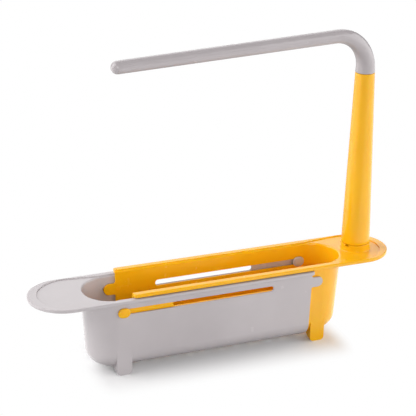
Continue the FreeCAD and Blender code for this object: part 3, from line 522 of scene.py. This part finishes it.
# Spacing of specks and smudges, and the detail and roughness of each noise in the plastic
SPECK_SPACING = 0.0011
SMUDGE_SPACING = 0.018
WAVE_SHARE = 0.5
FLOW_NOISE = (3.0, 0.55)
SPECK_NOISE = (2.0, 0.5)
SMUDGE_NOISE = (4.0, 0.6)
GRAIN_NOISE = (2.0, 0.6)
WAVE_NOISE = (1.0, 0.4)
SPECK_DARKNESS = 4
PLASTIC_IOR = 1.49
GLOW_SPREAD = (1.0, 0.45, 0.1)
WHITE = (1.0, 1.0, 1.0)


def shade(colour, factor):
    return tuple(min(1.0, part * factor) for part in colour) + (1.0,)


def moulded_plastic(name, colour, finish, glow_share):
    """Satin plastic: flow-tinted colour with fine specks, uneven gloss, fine grain over shallow waves."""
    material = bpy.data.materials.new(name)
    bench = NodeBench(material)
    place = bench.add("ShaderNodeTexCoord").outputs["Object"]

    flow = bench.noise(place, finish.flow_size, *FLOW_NOISE)
    specks = bench.noise(place, SPECK_SPACING, *SPECK_NOISE)
    change = finish.colour_change
    speck_colour = shade(colour, 1 - SPECK_DARKNESS * change)
    paler, deeper = shade(colour, 1 + change), shade(colour, 1 - change)
    tinted = bench.blend(bench.between(flow, 0.0, 1.0), deeper, paler)
    speckled = bench.blend(bench.between(specks, 0.0, change), tinted, speck_colour)

    smudge = bench.noise(place, SMUDGE_SPACING, *SMUDGE_NOISE)
    gloss = bench.between(smudge, finish.polish, finish.dullness)

    grain = bench.noise(place, finish.grain_size, *GRAIN_NOISE)
    waves = bench.noise(place, finish.flow_size * WAVE_SHARE, *WAVE_NOISE)
    broad = bench.add("ShaderNodeBump", Height=waves, Strength=1.0, Distance=finish.wave_depth)
    fine = bench.add("ShaderNodeBump", Height=grain, Strength=1.0, Distance=finish.grain_depth,
                     Normal=broad.outputs["Normal"])

    shader = bench.add("ShaderNodeBsdfPrincipled", Base_Color=speckled, Roughness=gloss, IOR=PLASTIC_IOR,
                       Normal=fine.outputs["Normal"], Subsurface_Weight=glow_share,
                       Subsurface_Radius=GLOW_SPREAD, Subsurface_Scale=finish.glow_depth)
    bench.add("ShaderNodeOutputMaterial", Surface=shader.outputs["BSDF"])
    return material


def plastic(kind):
    """The finish of that kind, made on first use; light enters the yellow alone."""
    name = f"{kind}_moulded_plastic"
    finish = bpy.context.scene.caddy_finish
    glow_share = finish.glow_share if kind == "yellow" else 0.0
    made = bpy.data.materials.get(name)
    return made or moulded_plastic(name, tuple(getattr(finish, kind)), finish, glow_share)


def dress(obj, body, kind, *nodes):
    """Let a new piece ride on its body and stand for its nodes; the kind of its plastic is not used."""
    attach(obj, body)
    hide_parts(*nodes)


# Operators


class CADDY_OT_trays(bpy.types.Operator):
    """Give the two half trays their moulded plastic."""

    bl_idname = "caddy.trays"
    bl_label = "Finish half trays"

    def execute(self, context):
        for node, kind in (("outer_tray", "grey"), ("inner_tray", "yellow")):
            tray = frame["nodes"][node]
            for slot in tray.material_slots:
                slot.material = plastic(kind)
        return {"FINISHED"}


class CADDY_OT_studs(bpy.types.Operator):
    """Make the four oval guide studs, two in each tray."""

    bl_idname = "caddy.studs"
    bl_label = "Guide studs"

    def execute(self, context):
        sizes = context.scene.caddy_studs
        rise, reach = math.sin(sizes.lean), math.cos(sizes.lean)
        for body, kind, spread, outward in (
                ("inner", "yellow", sizes.inner_spread, 1), ("outer", "grey", sizes.outer_spread, -1)):
            for place, side in (("front", -1), ("rear", 1)):
                node = f"{body}_stud_{place}"
                low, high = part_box(node)
                middle = ((low.x + high.x) / 2, side * spread, sizes.level)
                axis = (0.0, side * outward * reach, -outward * rise)
                stud = tube_object(f"{node}_crowned", stud_grid(sizes, middle, axis), plastic(kind))
                dress(stud, body, kind, node)
        return {"FINISHED"}


class CADDY_OT_post(bpy.types.Operator):
    """Make the tapered post with its spigot and lugs."""

    bl_idname = "caddy.post"
    bl_label = "Post"

    def execute(self, context):
        post = ring_object("post_turned", post_grid(context.scene.caddy_post), plastic("yellow"))
        dress(post, "post", "yellow", "post")
        return {"FINISHED"}


class CADDY_OT_rail(bpy.types.Operator):
    """Make the bent towel rail with its plug and rounded tip."""

    bl_idname = "caddy.rail"
    bl_label = "Towel rail"

    def execute(self, context):
        # The rail's darker grey is painted shade, not a plastic of its own
        rail = tube_object("rail_bent", rail_grid(context.scene.caddy_rail), plastic("rail"))
        dress(rail, "rail", "grey", "rail")
        return {"FINISHED"}


FLOOR_HALF = 6.0
PAST_ENDS = (2.0, 1.0, 0.0)
LIT_POINT = (0.0, 0.0, 0.1)
LIGHT_DISTANCE = 4.0

# Soft boxes round the caddy: setting with the power, bearing and height angle in degrees, width and height
SOFT_BOXES = (
    ("right_power", -20.0, 18.0, 5.2, 2.8),
    ("left_power", 161.0, 33.0, 3.6, 4.2),
    ("front_power", -102.0, 18.0, 2.6, 2.0),
    ("back_power", 80.0, 28.0, 4.6, 4.0),
)


def footprint_distance(bench, place, studio):
    """Distance on the floor from the caddy's footprint, counted twice past its ends: zero under it."""
    corner = (studio.shade_length, studio.shade_width, 0.0)
    past = bench.vector("SUBTRACT", bench.vector("ABSOLUTE", place), corner)
    beyond = bench.vector("MULTIPLY", bench.vector("MAXIMUM", past, (0.0, 0.0, 0.0)), PAST_ENDS)
    return bench.vector("LENGTH", beyond, output="Value")


def side_share(bench, place, studio):
    """How far aside a place on the floor lies: none on the line of sight, one square to it."""
    across = (math.cos(studio.bearing), -math.sin(studio.bearing), 0.0)
    heading = bench.vector("NORMALIZE", place)
    return bench.number("ABSOLUTE", bench.vector("DOT_PRODUCT", heading, across, output="Value"))


def floor_material(studio):
    """Pale floor: plain white to the camera away from the caddy, with the shadow kept close to it.

    Reflections also meet two bright boards on the floor, left and right of the line of sight. Nothing else
    meets the boards, so no light is sampled from them.
    """
    material = bpy.data.materials.new("pale_floor")
    material.cycles.emission_sampling = "NONE"
    bench = NodeBench(material)
    rays = bench.add("ShaderNodeLightPath").outputs
    seen, mirrored = rays["Is Camera Ray"], rays["Is Glossy Ray"]
    place = bench.add("ShaderNodeTexCoord").outputs["Object"]

    clear = bench.ramp(footprint_distance(bench, place, studio), 0.0, studio.shade_reach)
    aside = side_share(bench, place, studio)
    board = bench.ramp(aside, studio.board_start, studio.board_end, studio.board_glow)
    shining = bench.number("MULTIPLY", bench.number("MULTIPLY", board, clear), mirrored)

    colour = bench.blend(seen, shade(studio.floor_colour, 1), shade(studio.floor_seen, 1))
    matt = bench.add("ShaderNodeBsdfDiffuse", Color=colour)
    glow = bench.add("ShaderNodeEmission", Strength=shining)
    lit = bench.join("ShaderNodeAddShader", matt, glow)
    white = bench.add("ShaderNodeEmission", Strength=1.0)
    shown = bench.join("ShaderNodeMixShader", lit, white, Fac=bench.number("MULTIPLY", clear, seen))
    bench.add("ShaderNodeOutputMaterial", Surface=shown.outputs[0])
    return material


def white_world(studio):
    """White to the camera, a faint even fill to everything else."""
    world = bpy.data.worlds.new("studio_white")
    world.cycles.sampling_method = "NONE"
    bench = NodeBench(world)
    seen = bench.add("ShaderNodeLightPath").outputs["Is Camera Ray"]
    strength = bench.add("ShaderNodeMapRange", Value=seen, To_Min=studio.fill).outputs["Result"]
    background = bench.add("ShaderNodeBackground", Color=shade(WHITE, 1), Strength=strength)
    bench.add("ShaderNodeOutputWorld", Surface=background.outputs[0])
    return world


def soft_light(name, bearing, rise, width, height, power):
    """A soft light box on a bearing and at a height angle, facing the caddy."""
    data = bpy.data.lights.new(name, "AREA")
    data.shape = "RECTANGLE"
    data.size = width
    data.size_y = height
    data.energy = power
    light = bpy.data.objects.new(name, data)
    bpy.context.scene.collection.objects.link(light)
    bearing, rise = math.radians(bearing), math.radians(rise)
    away = Vector((math.cos(bearing) * math.cos(rise), math.sin(bearing) * math.cos(rise), math.sin(rise)))
    light.location = Vector(LIT_POINT) + LIGHT_DISTANCE * away
    light.rotation_euler = away.to_track_quat("Z", "Y").to_euler()
    return light


def picture_camera(studio):
    """The photograph's camera: axes from bearing, dip and roll, set back from a sighted point."""
    level = math.cos(studio.dip)
    sine, cosine = math.sin(studio.bearing), math.cos(studio.bearing)
    ahead = Vector((sine * level, cosine * level, -math.sin(studio.dip)))
    across = Vector((cosine, -sine, 0.0))
    above = across.cross(ahead)
    right = across * math.cos(studio.roll) + above * math.sin(studio.roll)
    up = above * math.cos(studio.roll) - across * math.sin(studio.roll)
    sighted = Vector((0.0, 0.0, studio.sight_height))
    place = sighted - studio.shift_right * right - studio.shift_up * up - studio.distance * ahead
    data = bpy.data.cameras.new("picture_camera")
    data.sensor_width = SENSOR_WIDTH
    data.lens = SENSOR_WIDTH * studio.focal_pixels / PICTURE_SIDE
    camera = bpy.data.objects.new("picture_camera", data)
    bpy.context.scene.collection.objects.link(camera)
    columns = Matrix((right, up, -ahead)).transposed()
    camera.matrix_world = Matrix.Translation(place) @ columns.to_4x4()
    return camera


class CADDY_OT_studio(bpy.types.Operator):
    """Lay the pale floor, set the soft lights and place the camera."""

    bl_idname = "caddy.studio"
    bl_label = "Studio"

    def execute(self, context):
        studio = context.scene.caddy_studio
        corners = np.array([(-1, -1, 0), (1, -1, 0), (1, 1, 0), (-1, 1, 0)]) * FLOOR_HALF
        floor = make_object("floor", corners, [(0, 1, 2, 3)], floor_material(studio))
        context.scene.world = white_world(studio)
        for setting, *box in SOFT_BOXES:
            soft_light(setting.replace("power", "light"), *box, getattr(studio, setting))
        context.scene.camera = picture_camera(studio)
        context.scene.view_settings.view_transform = "Standard"
        return {"FINISHED"}


STEPS = (CADDY_OT_trays, CADDY_OT_studs, CADDY_OT_post, CADDY_OT_rail, CADDY_OT_studio)


class CADDY_PT_sidebar(bpy.types.Panel):
    """Sidebar panel with the caddy's sizes and its making steps."""

    bl_idname = "CADDY_PT_sidebar"
    bl_label = "Sink Caddy"
    bl_space_type = "VIEW_3D"
    bl_region_type = "UI"
    bl_category = "Sink Caddy"

    def draw(self, context):
        for step in STEPS:
            self.layout.operator(step.bl_idname)
        for holder in SETTINGS:
            group = getattr(context.scene, holder)
            box = self.layout.box()
            box.label(text=group.bl_rna.name)
            for name in group.__annotations__:
                box.prop(group, name)


SETTINGS = {
    "caddy_finish": CaddyFinish,
    "caddy_studs": CaddyStuds,
    "caddy_post": CaddyPost,
    "caddy_rail": CaddyRail,
    "caddy_studio": CaddyStudio,
}
CLASSES = (*SETTINGS.values(), *STEPS, CADDY_PT_sidebar)


def register():
    for kind in CLASSES:
        bpy.utils.register_class(kind)
    for holder, group in SETTINGS.items():
        setattr(bpy.types.Scene, holder, bpy.props.PointerProperty(type=group))


def unregister():
    for holder in SETTINGS:
        delattr(bpy.types.Scene, holder)
    for kind in reversed(CLASSES):
        bpy.utils.unregister_class(kind)


def main():
    register()
    bpy.ops.caddy.trays()
    bpy.ops.caddy.studs()
    bpy.ops.caddy.post()
    bpy.ops.caddy.rail()
    bpy.ops.caddy.studio()


if __name__ == "__main__":
    main()
